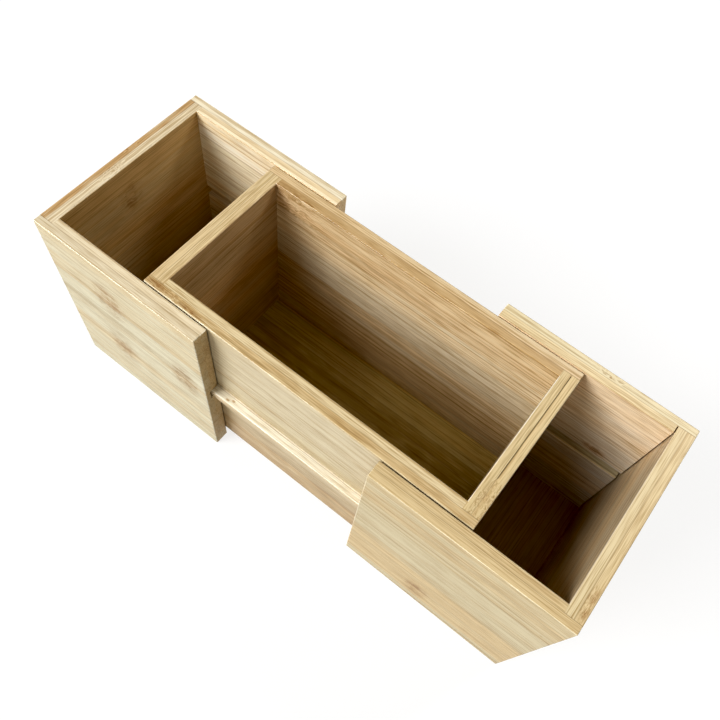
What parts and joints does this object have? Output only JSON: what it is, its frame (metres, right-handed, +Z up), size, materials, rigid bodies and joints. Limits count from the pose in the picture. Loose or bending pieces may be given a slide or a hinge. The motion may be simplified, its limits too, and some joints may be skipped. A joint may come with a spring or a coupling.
{
  "type": "desk organizer",
  "caption": "Expandable bamboo desk organizer: an open central box on side rails, with U-shaped end trays that slide out to make the end compartments wider.",
  "frame": {"origin": "middle of the base on the desk, under the whole organizer with its end trays drawn out as at rest", "axes": "+X along the organizer towards the right end tray, +Y towards the back, +Z up"},
  "size_m": [0.3466, 0.1274, 0.139],
  "materials": {
    "bamboo_shell": "satin clear lacquer over pale laminated bamboo",
    "bamboo_center": "satin clear lacquer over pale laminated bamboo",
    "bamboo_floor": "satin clear lacquer over laminated bamboo",
    "bamboo_rail": "satin clear lacquer over a solid bamboo strip"
  },
  "bodies": {
    "center_box": {"center_front_wall": "bamboo_center", "center_back_wall": "bamboo_center", "center_left_end": "bamboo_center", "center_right_end": "bamboo_center", "center_floor": "bamboo_floor", "front_rail": "bamboo_rail", "back_rail": "bamboo_rail"},
    "left_shell": {"left_front_wall": "bamboo_shell", "left_back_wall": "bamboo_shell", "left_end_wall": "bamboo_shell", "left_floor": "bamboo_floor"},
    "right_shell": {"right_front_wall": "bamboo_shell", "right_back_wall": "bamboo_shell", "right_end_wall": "bamboo_shell", "right_floor": "bamboo_floor"}
  },
  "joints": [
    {"name": "left_slide", "type": "slide", "parent": "center_box", "child": "left_shell", "axis": [-1, 0, 0], "range_m": [-0.06, 0.015]},
    {"name": "right_slide", "type": "slide", "parent": "center_box", "child": "right_shell", "axis": [1, 0, 0], "range_m": [-0.051, 0.024]}
  ]
}
